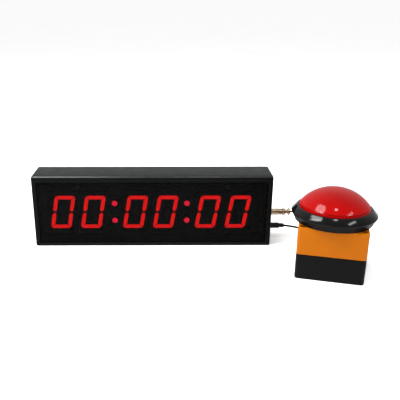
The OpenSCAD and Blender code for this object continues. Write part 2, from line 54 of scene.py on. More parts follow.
# ------------------------------------------------------------------ camera
cam_data = bpy.data.cameras.new("camera")
cam = bpy.data.objects.new("camera", cam_data)
COL.objects.link(cam)
cam.location = (0.01927, -0.71957, 0.3211)
cam.rotation_euler = (math.radians(69.86), 0, math.radians(-0.34))
cam_data.sensor_width = 36
cam_data.lens = 50.95
cam_data.shift_x = 0.074
cam_data.clip_start = 0.01
bpy.context.scene.camera = cam
bpy.context.scene.view_settings.view_transform = "Standard"


# ------------------------------------------------------------------ materials
def new_mat(name):
    m = bpy.data.materials.new(name)
    m.use_nodes = True
    nt = m.node_tree
    return m, nt, nt.nodes["Principled BSDF"]


def coords(nt, scale=(1, 1, 1)):
    tc = nt.nodes.new("ShaderNodeTexCoord")
    mp = nt.nodes.new("ShaderNodeMapping")
    mp.inputs["Scale"].default_value = scale
    nt.links.new(tc.outputs["Object"], mp.inputs["Vector"])
    return mp.outputs["Vector"]


def noise(nt, vec, scale, detail=3, rough=0.5):
    n = nt.nodes.new("ShaderNodeTexNoise")
    n.inputs["Scale"].default_value = scale
    n.inputs["Detail"].default_value = detail
    n.inputs["Roughness"].default_value = rough
    nt.links.new(vec, n.inputs["Vector"])
    return n.outputs["Fac"]


def ramp(nt, fac, stops):
    r = nt.nodes.new("ShaderNodeValToRGB")
    el = r.color_ramp.elements
    while len(el) < len(stops):
        el.new(0.5)
    for e, (p, c) in zip(el, stops):
        e.position = p
        e.color = (*c, 1) if len(c) == 3 else c
    nt.links.new(fac, r.inputs["Fac"])
    return r.outputs["Color"]


def spread(nt, fac, lo, hi, a=0.3, b=0.7):
    n = nt.nodes.new("ShaderNodeMapRange")
    n.inputs["From Min"].default_value = a
    n.inputs["From Max"].default_value = b
    n.inputs["To Min"].default_value = lo
    n.inputs["To Max"].default_value = hi
    nt.links.new(fac, n.inputs["Value"])
    return n.outputs["Result"]


def bump(nt, p, height, distance, strength=1.0, prev=None):
    b = nt.nodes.new("ShaderNodeBump")
    b.inputs["Strength"].default_value = strength
    b.inputs["Distance"].default_value = distance
    nt.links.new(height, b.inputs["Height"])
    if prev is not None:
        nt.links.new(prev, b.inputs["Normal"])
    return b.outputs["Normal"]


def shade(c, k):
    return tuple(min(1.0, x * k) for x in c)


def finish_mat(name, base, rough, var=0.10, var_scale=45, rough_var=0.06, grain=0.0, grain_scale=3200,
               metallic=0.0, spec=0.5, coat=0.0, coat_rough=0.08, waves=0.0, wave_scale=40, stretch=(1, 1, 1),
               speck=0.0, tint=None, alpha=1.0, ior=None):
    """Moulded, painted or plated surface: mottled colour, uneven gloss, fine grain and slow ripples."""
    m, nt, p = new_mat(name)
    v = coords(nt, stretch)
    big = noise(nt, v, var_scale, 4, 0.6)
    lo, hi = shade(base, 1 - var), shade(base, 1 + var)
    if tint is not None:
        hi = tint
    col = ramp(nt, big, [(0.28, lo), (0.5, base), (0.74, hi)])
    if speck > 0:
        mix = nt.nodes.new("ShaderNodeMixRGB")
        mix.blend_type = "MIX"
        dots = nt.nodes.new("ShaderNodeTexVoronoi")
        dots.inputs["Scale"].default_value = 900
        nt.links.new(v, dots.inputs["Vector"])
        f = spread(nt, dots.outputs["Distance"], speck, 0, 0.03, 0.11)
        nt.links.new(f, mix.inputs["Fac"])
        nt.links.new(col, mix.inputs["Color1"])
        mix.inputs["Color2"].default_value = (*shade(base, 2.2), 1)
        col = mix.outputs["Color"]
    nt.links.new(col, p.inputs["Base Color"])
    r = spread(nt, noise(nt, v, var_scale * 3.1, 5, 0.65), max(0.02, rough - rough_var), min(1, rough + rough_var))
    nt.links.new(r, p.inputs["Roughness"])
    normal = None
    if waves > 0:
        normal = bump(nt, p, noise(nt, v, wave_scale, 2), waves)
    if grain > 0:
        normal = bump(nt, p, noise(nt, v, grain_scale, 4, 0.7), grain, 1.0, normal)
    if normal is not None:
        nt.links.new(normal, p.inputs["Normal"])
    p.inputs["Metallic"].default_value = metallic
    p.inputs["Specular IOR Level"].default_value = spec
    p.inputs["Coat Weight"].default_value = coat
    p.inputs["Coat Roughness"].default_value = coat_rough
    p.inputs["Alpha"].default_value = alpha
    if ior:
        p.inputs["IOR"].default_value = ior
    return m


def glow_mat(name, core, edge, strength, rough=0.35):
    """Lit plastic light window: bright core, slightly uneven output."""
    m, nt, p = new_mat(name)
    v = coords(nt)
    c = ramp(nt, noise(nt, v, 130, 3), [(0.3, edge), (0.65, core)])
    nt.links.new(c, p.inputs["Emission Color"])
    p.inputs["Emission Strength"].default_value = strength
    nt.links.new(ramp(nt, noise(nt, v, 400, 2), [(0.3, (0.10, 0.004, 0.004)), (0.7, (0.16, 0.007, 0.006))]), p.inputs["Base Color"])
    nt.links.new(spread(nt, noise(nt, v, 300, 3), rough - 0.05, rough + 0.05), p.inputs["Roughness"])
    return m


def brushed(name, base, rough, scale=(60, 60, 60), metallic=1.0, var=0.14):
    """Turned or brushed metal with fine lines and slight tarnish."""
    m, nt, p = new_mat(name)
    v = coords(nt)
    vl = coords(nt, scale)
    fine = noise(nt, vl, 22, 4, 0.7)
    tone = ramp(nt, noise(nt, v, 240, 4, 0.6), [(0.3, shade(base, 1 - var)), (0.52, base), (0.75, shade(base, 1 + var * 0.6))])
    nt.links.new(tone, p.inputs["Base Color"])
    nt.links.new(spread(nt, fine, rough - 0.07, rough + 0.1), p.inputs["Roughness"])
    nt.links.new(bump(nt, p, fine, 0.00002, 0.6), p.inputs["Normal"])
    p.inputs["Metallic"].default_value = metallic
    return m


M = {}
M["case_plastic"] = finish_mat("charcoal_case", (0.0033, 0.0041, 0.0041), 0.40, var=0.14, var_scale=26, rough_var=0.05, grain=0.00004, grain_scale=2600, spec=0.06, waves=0.0001, wave_scale=9, speck=0.10)
M["rear_plastic"] = finish_mat("charcoal_rear", (0.028, 0.029, 0.030), 0.55, var=0.14, var_scale=30, rough_var=0.05, grain=0.00010, grain_scale=1900, spec=0.4, speck=0.12)
# painted shade: a darker copy of the charcoal case colour, used on the front faces of the case
M["case_front"] = finish_mat("charcoal_front_painted_shade", (0.0022, 0.0026, 0.0026), 0.36, var=0.14, var_scale=26, rough_var=0.05, grain=0.00003, grain_scale=2600, spec=0.035, speck=0.08)
# painted highlight: a lighter, glossier copy of the charcoal case colour for the rounded front-top edge band
M["case_edge"] = finish_mat("charcoal_edge_painted_highlight", (0.0085, 0.0095, 0.0095), 0.27, var=0.12, var_scale=26, rough_var=0.04, grain=0.00002, grain_scale=2600, spec=0.16, speck=0.08)
M["smoked_window"] = finish_mat("smoked_window", (0.0018, 0.0018, 0.0018), 0.30, var=0.12, var_scale=14, rough_var=0.04, spec=0.016, waves=0.00004, wave_scale=7, alpha=0.945)
M["digit_black"] = finish_mat("digit_face", (0.0022, 0.0022, 0.0022), 0.7, var=0.15, var_scale=30, spec=0.04)
M["segment_lit"] = glow_mat("segment_lit", (1.0, 0.009, 0.009), (0.90, 0.005, 0.006), 12.4)
M["segment_dark"] = finish_mat("segment_dark", (0.012, 0.003, 0.003), 0.4, var=0.2, var_scale=200, spec=0.2)
M["colon_lit"] = glow_mat("colon_lit", (1.0, 0.016, 0.062), (0.92, 0.010, 0.036), 12.2)
M["lens_side"] = finish_mat("lens_side", (0.05, 0.004, 0.006), 0.4, var=0.2, var_scale=200, spec=0.2)
M["circuit_board"] = finish_mat("solder_mask", (0.004, 0.022, 0.010), 0.5, var=0.25, var_scale=180, rough_var=0.08, spec=0.1)
M["chip_black"] = finish_mat("component_black", (0.02, 0.02, 0.021), 0.6, var=0.15, var_scale=200, grain=0.00004, speck=0.1)
M["steel_screw"] = brushed("zinc_screw", (0.27, 0.265, 0.255), 0.34, (1, 1, 1))
M["brass_turned"] = brushed("turned_brass", (0.70, 0.50, 0.22), 0.32, (1, 1, 40))
M["cell_steel"] = brushed("cell_steel", (0.66, 0.66, 0.66), 0.28, (1, 40, 1))
M["nickel"] = brushed("warm_nickel", (0.315, 0.25, 0.18), 0.24, (90, 6, 6), var=0.16)
M["jack_black"] = finish_mat("socket_black", (0.018, 0.018, 0.019), 0.35, var=0.12, var_scale=200, grain=0.00003)
M["base_black"] = finish_mat("base_black", (0.0018, 0.0019, 0.0020), 0.42, var=0.16, var_scale=34, rough_var=0.07, grain=0.00006, grain_scale=2100, spec=0.06, waves=0.00015, wave_scale=18, speck=0.14)
M["cover_yellow"] = finish_mat("amber_cover", (0.358, 0.094, 0.0005), 0.34, var=0.06, var_scale=28, rough_var=0.06, grain=0.00004, grain_scale=2300, spec=0.06, waves=0.00015, wave_scale=18)
M["seal_rubber"] = finish_mat("seal_rubber", (0.018, 0.018, 0.018), 0.7, var=0.15, var_scale=120, grain=0.00006, spec=0.25)
M["bezel_black"] = finish_mat("bezel_black", (0.0018, 0.0017, 0.0020), 0.11, var=0.2, var_scale=40, rough_var=0.03, spec=0.13, waves=0.00012, wave_scale=26)
M["bezel_under"] = finish_mat("bezel_under", (0.0030, 0.0029, 0.0031), 0.42, var=0.2, var_scale=60, rough_var=0.06, grain=0.00004, grain_scale=2200, spec=0.045)
M["sensor_red"] = finish_mat("sensor_window", (0.22, 0.010, 0.010), 0.25, var=0.2, var_scale=160, spec=0.3)
M["diffuser_white"] = finish_mat("diffuser_white", (0.78, 0.78, 0.74), 0.5, var=0.05, var_scale=90, grain=0.00004)
M["spring_steel"] = brushed("spring_steel", (0.55, 0.55, 0.56), 0.3, (6, 6, 60))
M["nut_black"] = finish_mat("nut_black", (0.02, 0.02, 0.021), 0.5, var=0.15, var_scale=90, grain=0.00005)
M["lamp_clear"] = finish_mat("lamp_clear", (0.82, 0.80, 0.66), 0.2, var=0.06, var_scale=200)
M["switch_black"] = finish_mat("switch_black", (0.02, 0.02, 0.022), 0.5, var=0.15, var_scale=140, grain=0.00004)
M["switch_red"] = finish_mat("switch_red", (0.45, 0.02, 0.018), 0.4, var=0.1, var_scale=300)
M["cord_black"] = finish_mat("cord_jacket", (0.0045, 0.0045, 0.0047), 0.42, var=0.2, var_scale=150, rough_var=0.08, grain=0.00004, grain_scale=2600, spec=0.10)
M["plug_black"] = finish_mat("plug_black", (0.0050, 0.0050, 0.0052), 0.46, var=0.2, var_scale=170, rough_var=0.07, grain=0.00005, grain_scale=2000, spec=0.12)
M["tie_black"] = finish_mat("tie_black", (0.010, 0.010, 0.0105), 0.55, var=0.2, var_scale=300, grain=0.00005, spec=0.15)
M["usb_steel"] = brushed("plated_shell", (0.36, 0.36, 0.37), 0.24, (40, 4, 4))


def dome_mat():
    """Translucent red moulding: dark red body colour with painted shade darkening it towards the top of the cap, glossy
    skin with slow ripples.
    """
    m, nt, p = new_mat("dome_red")
    v = coords(nt)
    tone = ramp(nt, noise(nt, v, 22, 3), [(0.3, (0.235, 0.0004, 0.0003)), (0.55, (0.255, 0.0006, 0.0005)), (0.8, (0.278, 0.0011, 0.0008))])
    sep = nt.nodes.new("ShaderNodeSeparateXYZ")
    nt.links.new(v, sep.inputs["Vector"])
    # painted shade: the body colour is multiplied darker with height, so the top of the cap reads darker
    top_painted_shade = nt.nodes.new("ShaderNodeMixRGB")
    top_painted_shade.blend_type = "MULTIPLY"
    top_painted_shade.inputs["Color2"].default_value = (0.74, 0.68, 0.68, 1)
    nt.links.new(spread(nt, sep.outputs["Z"], 0.0, 1.0, 0.088, 0.103), top_painted_shade.inputs["Fac"])
    nt.links.new(tone, top_painted_shade.inputs["Color1"])
    nt.links.new(top_painted_shade.outputs["Color"], p.inputs["Base Color"])
    nt.links.new(spread(nt, noise(nt, v, 90, 4), 0.07, 0.11), p.inputs["Roughness"])
    fine = noise(nt, v, 500, 3)
    nt.links.new(bump(nt, p, fine, 0.000008, 1.0, bump(nt, p, noise(nt, v, 24, 2), 0.00005)), p.inputs["Normal"])
    p.inputs["Specular IOR Level"].default_value = 0.085
    p.inputs["Subsurface Weight"].default_value = 0.12
    p.inputs["Subsurface Radius"].default_value = (1.0, 0.08, 0.05)
    p.inputs["Subsurface Scale"].default_value = 0.004
    return m


M["dome_red"] = dome_mat()


# ------------------------------------------------------------------ mesh helpers
def make(name, verts, faces, mat, body=ROOT, replaces=(), smooth=True, angle=32, matrix=None):
    me = bpy.data.meshes.new(name)
    me.from_pydata([(x * MM, y * MM, z * MM) for x, y, z in verts], [], faces)
    bm = bmesh.new()
    bm.from_mesh(me)
    bmesh.ops.remove_doubles(bm, verts=bm.verts, dist=1e-7)
    bmesh.ops.recalc_face_normals(bm, faces=bm.faces)
    bm.to_mesh(me)
    bm.free()
    if matrix is not None:
        me.transform(matrix)
    o = bpy.data.objects.new(name, me)
    COL.objects.link(o)
    if mat is not None:
        me.materials.append(mat)
    if smooth:
        me.shade_smooth()
        me.set_sharp_from_angle(angle=math.radians(angle))
    if body:
        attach(o, body)
    if replaces:
        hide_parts(*replaces)
    return o


def cut(o, cutters, angle=32):
    """Takes the cutters out of o and removes them."""
    for c in cutters:
        mod = o.modifiers.new("cut", "BOOLEAN")
        mod.operation = "DIFFERENCE"
        mod.solver = "EXACT"
        mod.object = c
        bpy.context.view_layer.update()
        dg = bpy.context.evaluated_depsgraph_get()
        me = bpy.data.meshes.new_from_object(o.evaluated_get(dg))
        o.modifiers.clear()
        old = o.data
        o.data = me
        bpy.data.meshes.remove(old)
        bpy.data.objects.remove(c)
    o.data.shade_smooth()
    o.data.set_sharp_from_angle(angle=math.radians(angle))


def lathe(profile, n=128, closed=False, bumps=None):
    """(r, z) points turned about Z. closed joins the last point to the first. bumps(a, i) adds to the radius."""
    verts, faces, rings = [], [], []
    for i, (r, z) in enumerate(profile):
        if r < 1e-6:
            rings.append([len(verts)])
            verts.append((0, 0, z))
        else:
            ring = []
            for k in range(n):
                a = 2 * math.pi * k / n
                rr = r + (bumps(k, i) if bumps else 0)
                ring.append(len(verts))
                verts.append((rr * math.cos(a), rr * math.sin(a), z))
            rings.append(ring)
    pairs = list(zip(rings[:-1], rings[1:])) + ([(rings[-1], rings[0])] if closed else [])
    for a, b in pairs:
        if len(a) == 1 and len(b) == 1:
            continue
        for k in range(n):
            k2 = (k + 1) % n
            if len(a) == 1:
                faces.append((a[0], b[k2], b[k]))
            elif len(b) == 1:
                faces.append((a[k], a[k2], b[0]))
            else:
                faces.append((a[k], a[k2], b[k2], b[k]))
    return verts, faces


def loft(loops, closed=False, cap0=False, cap1=False):
    n = len(loops[0])
    verts = [p for l in loops for p in l]
    faces = []
    m = len(loops)
    for i in range(m if closed else m - 1):
        j = (i + 1) % m
        for k in range(n):
            k2 = (k + 1) % n
            faces.append((i * n + k, i * n + k2, j * n + k2, j * n + k))
    if cap0:
        faces.append(tuple(reversed(range(n))))
    if cap1:
        faces.append(tuple((m - 1) * n + k for k in range(n)))
    return verts, faces


def rr(a0, a1, b0, b1, r, n=8):
    """Rounded rectangle from (a0, b0) to (a1, b1), n + 1 points a corner."""
    r = max(0.01, min(r, (a1 - a0) / 2 - 0.01, (b1 - b0) / 2 - 0.01))
    out = []
    for cx, cy, s in ((a1 - r, b1 - r, 0), (a0 + r, b1 - r, 90), (a0 + r, b0 + r, 180), (a1 - r, b0 + r, 270)):
        for i in range(n + 1):
            t = math.radians(s + 90 * i / n)
            out.append((cx + r * math.cos(t), cy + r * math.sin(t)))
    return out


def along_x(verts, x0, y0, z0):
    """Turns a part lathed about Z so that its axis runs along +X from x0."""
    return [(x0 + z, y0 + x, z0 + y) for x, y, z in verts]


def cyl(name, r, z0, z1, n=48, matrix=None, axis="z", at=(0, 0)):
    v, f = lathe([(0, z0), (r, z0), (r, z1), (0, z1)], n)
    if axis == "x":
        v = [(z, at[0] + x, at[1] + y) for x, y, z in v]
    elif axis == "y":
        v = [(at[0] + x, z, at[1] + y) for x, y, z in v]
    else:
        v = [(at[0] + x, at[1] + y, z) for x, y, z in v]
    return make(name, v, f, None, body=None, smooth=False, matrix=matrix)


# ------------------------------------------------------------------ cords
def cr(a, b, c, d, t):
    return tuple(0.5 * (2 * q + (r - p) * t + (2 * p - 5 * q + 4 * r - s) * t * t + (3 * q - p - 3 * r + s) * t ** 3) for p, q, r, s in zip(a, b, c, d))


def smooth_path(p, k):
    out = [cr(p[i - 1], p[i], p[i + 1], p[i + 2], j / k) for i in range(1, len(p) - 2) for j in range(k)]
    return out + [tuple(p[-2])]


def winding(c, rows, levels, start, per=32):
    """rows = [(turns, radius at start, radius at end)], laid clockwise from angle start, one level each."""
    out = []
    ang = start
    for i, (t, r0, r1) in enumerate(rows):
        n = max(2, round(t * per))
        for j in range(n):
            u = j / n
            z = levels[i]
            ease = 0.30  # share of a turn in which one level changes to the next
            if i + 1 < len(rows):
                left = (1 - u) * t
                if left < ease:
                    w = 0.5 * (1 - left / ease)
                    z = levels[i] + (levels[i + 1] - levels[i]) * (3 * w * w - 2 * w ** 3)
            if i > 0:
                gone = u * t
                if gone < ease:
                    w = 0.5 + 0.5 * gone / ease
                    z = levels[i - 1] + (levels[i] - levels[i - 1]) * (3 * w * w - 2 * w ** 3)
            r = r0 + (r1 - r0) * u
            a = math.radians(ang - 360 * t * u)
            out.append((c[0] + r * math.cos(a), c[1] + r * math.sin(a), z))
        ang -= 360 * t
    r = rows[-1][2]
    a = math.radians(ang)
    out.append((c[0] + r * math.cos(a), c[1] + r * math.sin(a), levels[-1]))
    return out


def cord_curve(name, pts, d, mat, replaces):
    cu = bpy.data.curves.new(name, "CURVE")
    cu.dimensions = "3D"
    cu.bevel_depth = d / 2 * MM
    cu.bevel_resolution = 4
    cu.use_fill_caps = True
    sp = cu.splines.new("POLY")
    sp.points.add(len(pts) - 1)
    for q, p in zip(sp.points, pts):
        q.co = (p[0] * MM, p[1] * MM, p[2] * MM, 1)
    sp.use_smooth = True
    o = bpy.data.objects.new(name, cu)
    COL.objects.link(o)
    cu.materials.append(mat)
    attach(o, ROOT)
    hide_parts(*replaces)
    return o


HX = 157.5
TZ, PZ = 40.1, 20.0
YAW = math.radians(-14.8)
SX, SY = 219.5, -88.0
ED = (-math.sin(YAW), math.cos(YAW))
EXX, EXY = SX - math.sin(YAW) * 54, SY + math.cos(YAW) * 54

trigger_in = [(HX + 21, 0, TZ), (HX + 29.4, 0, TZ), (HX + 39, 0.5, TZ - 0.3), (206.5, 2.8, 36.2), (217.5, 7, 28.7),
              (227, 13, 18.5), (233.4, 19.5, 11.0), (236.9, 27.5, 7.78), (237.0, 36, 7.75)]
trigger_out = [(EXX - ED[0] * 10, EXY - ED[1] * 10, 17), (EXX - ED[0] * 1.5, EXY - ED[1] * 1.5, 17), (EXX + ED[0] * 8, EXY + ED[1] * 8, 16),
               (238.8, -18, 11.4), (240.2, -8, 5.8), (243.2, 1.4, 2.2), (248.8, 7.4, 1.15), (256, 9.1, 1.15), (264, 10.3, 1.15)]
CA, CB = (256, 28), (262, 76)
t_in = smooth_path(trigger_in, 5)
t_out = smooth_path(trigger_out, 5)
t_coil = winding(CA, [(3.0, 19.1, 12.9), (4.0, 12.3, 19.9), (4.0, 19.9, 12.3), (2.75, 12.9, 18.9)], [7.75, 5.55, 3.35, 1.15], 180)
trigger_pts = t_in[:-1] + t_coil + list(reversed(t_out))[1:]
power_in = [(HX + 12, 0, PZ + 0.6), (HX + 20.5, 0, PZ + 0.05), (190, -0.4, 18.4), (201, -0.6, 16.2), (211, 2, 12.6), (218.5, 10, 7.9),
            (222, 23, 3.9), (223.6, 38, 2.6), (228, 52, 3.6), (235, 63.5, 5.6), (240.9, 75.5, 7.05), (241.0, 85, 7.05)]
UA = math.radians(-106)
UD = (math.cos(UA), math.sin(UA))
power_out = [(254, 91.2, 1.45), (262, 93, 1.45), (272, 94.2, 1.5), (283, 95.3, 2.0), (293, 93.6, 3.2), (299.2, 88.5, 4.2),
             (301 + UD[0] * 1.5, 80 + UD[1] * 1.5, 4.4), (301 + UD[0] * 9, 80 + UD[1] * 9, 4.4)]
p_in = smooth_path(power_in, 4)
p_out = smooth_path(power_out, 5)
p_coil = winding(CB, [(3.0, 21.0, 12.9), (4.0, 12.2, 21.8), (2.25, 21.8, 17.0)], [7.05, 4.25, 1.45], 180)
power_pts = p_in[:-1] + p_coil + p_out[1:]

trigger_cord = cord_curve("trigger_cord", trigger_pts, 2.2, M["cord_black"], ("trigger_cord_clock_end", "trigger_cord_coil", "trigger_cord_station_end"))
power_cord = cord_curve("power_cord", power_pts, 2.8, M["cord_black"], ("power_cord_clock_end", "power_cord_coil", "power_cord_usb_end"))


def tie(name, c, R, ang, hw, h, width=3.2):
    """Flat tie round the bundle of a coil, with a small twisted tail on top."""
    a = math.radians(ang)
    rad, tan = (math.cos(a), math.sin(a)), (-math.sin(a), math.cos(a))
    path = rr(-hw, hw, 0.12, h, 2.2, 6)
    loops = []
    for t, g in ((-width / 2, 0.0), (-width / 2, 0.42), (width / 2, 0.42), (width / 2, 0.0)):
        l = []
        cz = h / 2
        for u, z in path:
            k = 1 + g / max(hw, 1)
            uu, zz = u * k, max(0.06, cz + (z - cz) * (1 + g / cz))
            rr_ = R + uu
            l.append((c[0] + rad[0] * rr_ + tan[0] * t, c[1] + rad[1] * rr_ + tan[1] * t, zz))
        loops.append(l)
    v, f = loft(loops, closed=True)
    # tail: a short twisted strip standing on the bundle
    tail = []
    for i in range(15):
        s = i / 14
        th = s * math.pi * 2.5
        mid = (R + 1.0 + s * 9.0, 1.0 * math.sin(s * 5), h + 0.55 + 0.5 * math.sin(s * math.pi))
        w = (0, math.cos(th), math.sin(th))
        tail.append((mid, w))
    base = len(v)
    for mid, w in tail:
        for sgn in (-1, 1):
            uu = mid[0]
            tt = mid[1] + w[1] * 0.75 * sgn
            zz = mid[2] + w[2] * 0.4 * sgn
            for off in (-0.16, 0.16):
                v.append((c[0] + rad[0] * uu + tan[0] * tt, c[1] + rad[1] * uu + tan[1] * tt, zz + off))
    for i in range(14):
        b0, b1 = base + i * 4, base + (i + 1) * 4
        for q in ((0, 1, 3, 2),):
            idx = q
            for k in range(4):
                k2 = (k + 1) % 4
                f.append((b0 + idx[k], b0 + idx[k2], b1 + idx[k2], b1 + idx[k]))
    f.append((base + 2, base + 3, base + 1, base))
    e = base + 14 * 4
    f.append((e, e + 1, e + 3, e + 2))
    return make(name, v, f, M["tie_black"])


tie_a = tie("trigger_coil_tie", CA, 16, 35, 4.75, 8.95)
tie_b = tie("power_coil_tie", CB, 17, -35, 5.9, 8.55)

# ------------------------------------------------------------------ plugs
def knurl(lo, hi, depth, teeth):
    def f(k, i):
        if lo <= i <= hi:
            return depth if k % 2 == (i % 2) else 0.0
        return 0.0
    return f


# coupling sleeve of the button cord: knurled grip, grooves at both ends
prof = [(3.72, 0.3), (4.05, 0.3), (4.3, 0.55), (4.5, 0.9), (4.5, 2.0), (4.2, 2.25), (4.2, 2.8), (4.42, 3.0)]
first = len(prof)
z = 3.25
while z < 13.6:
    prof.append((4.38, z))
    z += 0.36
last = len(prof) - 1
prof += [(4.42, 13.9), (4.2, 14.15), (4.2, 14.7), (4.5, 14.95), (4.5, 17.0), (4.35, 17.35), (4.05, 17.5), (3.4, 17.5), (3.4, 8.2), (3.72, 8.0)]
v, f = lathe(prof, 72, closed=True, bumps=knurl(first, last, 0.12, 36))
make("coupling_sleeve_turned", along_x(v, HX, 0, TZ), f, M["nickel"], body="plug_sleeve", replaces=("coupling_sleeve",), angle=24)
# plug body: thread stub in front, ring and neck behind
prof = [(0, 1.0), (2.1, 1.0), (2.4, 1.3), (2.4, 6.2), (3.25, 6.4)]
z = 6.8
while z < 8.2:
    prof += [(3.25, z), (3.05, z + 0.35)]
    z += 0.7
prof += [(3.25, 8.4), (3.28, 17.9), (4.15, 18.0), (4.6, 18.45), (4.75, 18.9), (4.75, 19.9), (4.55, 20.05), (4.55, 20.3), (4.75, 20.45), (4.75, 21.4),
         (4.6, 21.85), (4.15, 22.3), (3.3, 22.5), (3.0, 22.8), (3.0, 25.6), (3.25, 26.0), (0, 26.0)]
v, f = lathe(prof, 64)
body_p = make("trigger_plug_turned", along_x(v, HX, 0, TZ), f, M["nickel"], replaces=("trigger_plug_body",), angle=28)
prof = [(0, 26.0), (4.9, 26.0), (5.3, 26.2), (5.4, 26.5), (5.4, 27.9), (5.25, 28.25), (4.6, 28.4), (4.15, 28.5), (3.3, 29.2), (2.2, 29.8), (1.75, 30.1), (1.25, 30.1), (0, 29.9)]
v, f = lathe(prof, 64)
collar_p = make("trigger_plug_collar_turned", along_x(v, HX, 0, TZ), f, M["nickel"], replaces=("trigger_plug_collar",), angle=28)

# black power plug with finger ridges and a ribbed, tapered relief
prof = [(0, 0.3), (3.45, 0.3), (3.75, 0.5), (4.05, 1.1)]
for i in range(5):
    z0 = 2.6 + i * 2.0
    prof += [(4.08, z0), (4.08, z0 + 0.9), (3.82, z0 + 1.15), (3.82, z0 + 1.65), (4.08, z0 + 1.9)]
prof += [(4.08, 13.9), (3.85, 14.8), (3.1, 15.5), (2.75, 15.8), (2.62, 16.4)]
for i in range(4):
    z0 = 16.6 + i * 1.35
    k = 3.2 - i * 0.12
    prof += [(k - 0.1, z0), (k, z0 + 0.12), (k, z0 + 0.8), (k - 0.1, z0 + 0.92), (k - 0.4, z0 + 0.98), (k - 0.42, z0 + 1.27)]
prof += [(1.75, 22.0), (1.45, 22.2), (0, 22.2)]
prof = [(r, min(z, 22.2)) for r, z in prof]
v, f = lathe(prof, 56)
power_p = make("power_plug_moulded", along_x(v, HX, 0, PZ), f, M["plug_black"], replaces=("power_plug",), angle=40)

# USB plug: rounded grip with side ridges, open steel shell with two windows drawn as black plates of painted shade
UM = Matrix.Translation((301 * MM, 80 * MM, 4.4 * MM)) @ Matrix.Rotation(UA, 4, "Z")
loops = []
for x, w, h, r in ((0, 4.6, 4.6, 2.2), (1.5, 5.0, 5.0, 2.4), (1.7, 5.6, 5.6, 2.7), (2.6, 5.8, 5.8, 2.8), (2.8, 5.2, 5.2, 2.5), (3.6, 5.6, 5.5, 2.7),
                   (3.8, 6.3, 6.2, 3.0), (4.7, 6.5, 6.4, 3.1), (4.9, 6.0, 5.8, 2.8), (5.6, 7.4, 6.2, 2.6), (6.3, 11.0, 7.2, 2.4), (7.4, 14.4, 7.9, 2.2), (8.6, 15.5, 8.2, 2.0),
                   (12.0, 15.6, 8.2, 2.0), (12.4, 15.0, 8.0, 1.9), (13.4, 15.0, 8.0, 1.9), (13.8, 15.6, 8.2, 2.0), (14.8, 15.6, 8.2, 2.0), (15.2, 15.0, 8.0, 1.9), (16.2, 15.0, 8.0, 1.9),
                   (16.6, 15.6, 8.2, 2.0), (17.6, 15.6, 8.2, 2.0), (18.0, 15.0, 8.0, 1.9), (19.0, 15.0, 8.0, 1.9), (19.4, 15.6, 8.2, 2.0), (31.0, 15.6, 8.2, 2.0), (31.7, 15.2, 7.8, 1.9), (32.0, 14.4, 7.0, 1.7)):
    loops.append([(x, a, b) for a, b in rr(-w / 2, w / 2, -h / 2, h / 2, r, 6)])
v, f = loft(loops, cap0=True, cap1=True)
usb_g = make("usb_grip_moulded", v, f, M["plug_black"], replaces=("usb_grip",), matrix=UM, angle=40)
loops = []
for x, w, h in ((31.0, 12.0, 4.5), (46.4, 12.0, 4.5), (46.9, 11.8, 4.3), (47.0, 11.6, 4.1), (46.6, 11.4, 3.9), (31.5, 11.4, 3.9)):
    loops.append([(x, a, b) for a, b in rr(-w / 2, w / 2, -h / 2, h / 2, 0.5, 4)])
v, f = loft(loops, cap1=True)
usb_s = make("usb_shell_pressed", v, f, M["usb_steel"], replaces=("usb_shell",), matrix=UM, angle=40)
tongue = []
for x, w, h in ((31.6, 11.0, 1.7), (45.6, 11.0, 1.7), (46.0, 10.6, 1.4)):
    tongue.append([(x, a, b - 1.0) for a, b in rr(-w / 2, w / 2, -h / 2, h / 2, 0.25, 2)])
v, f = loft(tongue, cap0=True, cap1=True)
usb_t = make("usb_tongue", v, f, M["diffuser_white"], matrix=UM, angle=40)
# painted shade: two flat black plates on top of the shell stand in for the dark inside seen through its window holes
v, f = [], []
for s in (-1, 1):
    b = len(v)
    vv, ff = loft([[(x_, y_ + s * 3, zz) for x_, y_ in rr(39, 41.4, -1.1, 1.1, 0.3, 3)] for zz in (1.9, 2.27)], cap0=True, cap1=True)
    v += vv
    f += [tuple(i + b for i in q) for q in ff]
usb_window_painted_shade = make("usb_shell_windows_painted_shade", v, f, M["plug_black"], matrix=UM, angle=40)

# ------------------------------------------------------------------ clock case
HY, CH = 23.0, 98.0


def round_in(d, r):
    """How far a rounded edge of radius r stands in at depth d behind the face."""
    if d >= r:
        return 0.0
    return r - math.sqrt(max(0.0, r * r - (r - d) ** 2))


def case_loop(y, side, bot, top, r):
    return [(x, y, z) for x, z in rr(-HX + side, HX - side, bot, CH - top, r, 7)]


loops = [case_loop(-21.3, 6.0, 4.5, 8.5, 1.0), case_loop(-22.3, 6.0, 4.5, 8.5, 1.0), case_loop(-22.5, 5.9, 4.4, 8.4, 1.1), case_loop(-22.62, 5.65, 4.15, 8.15, 1.2),
         case_loop(-22.66, 4.35, 3.3, 6.3, 1.6), case_loop(-22.8, 4.15, 3.15, 6.1, 1.7), case_loop(-23.0, 4.0, 3.0, 5.9, 1.8), case_loop(-23.0, 1.9, 1.7, 4.05, 2.3)]
for d in (0.04, 0.12, 0.25, 0.45, 0.7, 1.0, 1.4, 1.9, 2.5, 3.2, 4.0):
    loops.append(case_loop(-23 + d, round_in(d, 1.8), round_in(d, 1.6), round_in(d, 4.0), 2.4))
loops += [case_loop(21.2, 0, 0, 0, 2.4)]
for d in (1.1, 0.7, 0.35, 0.1, 0.0):
    loops.append(case_loop(23 - d, round_in(d, 1.4), round_in(d, 1.4), round_in(d, 1.8), 2.3))
loops += [case_loop(23, 2.35, 2.35, 2.35, 1.3), case_loop(22.8, 2.5, 2.5, 2.5, 1.2), case_loop(-20.4, 2.5, 2.5, 2.5, 1.2), case_loop(-21.0, 3.2, 3.2, 3.4, 1.0)]
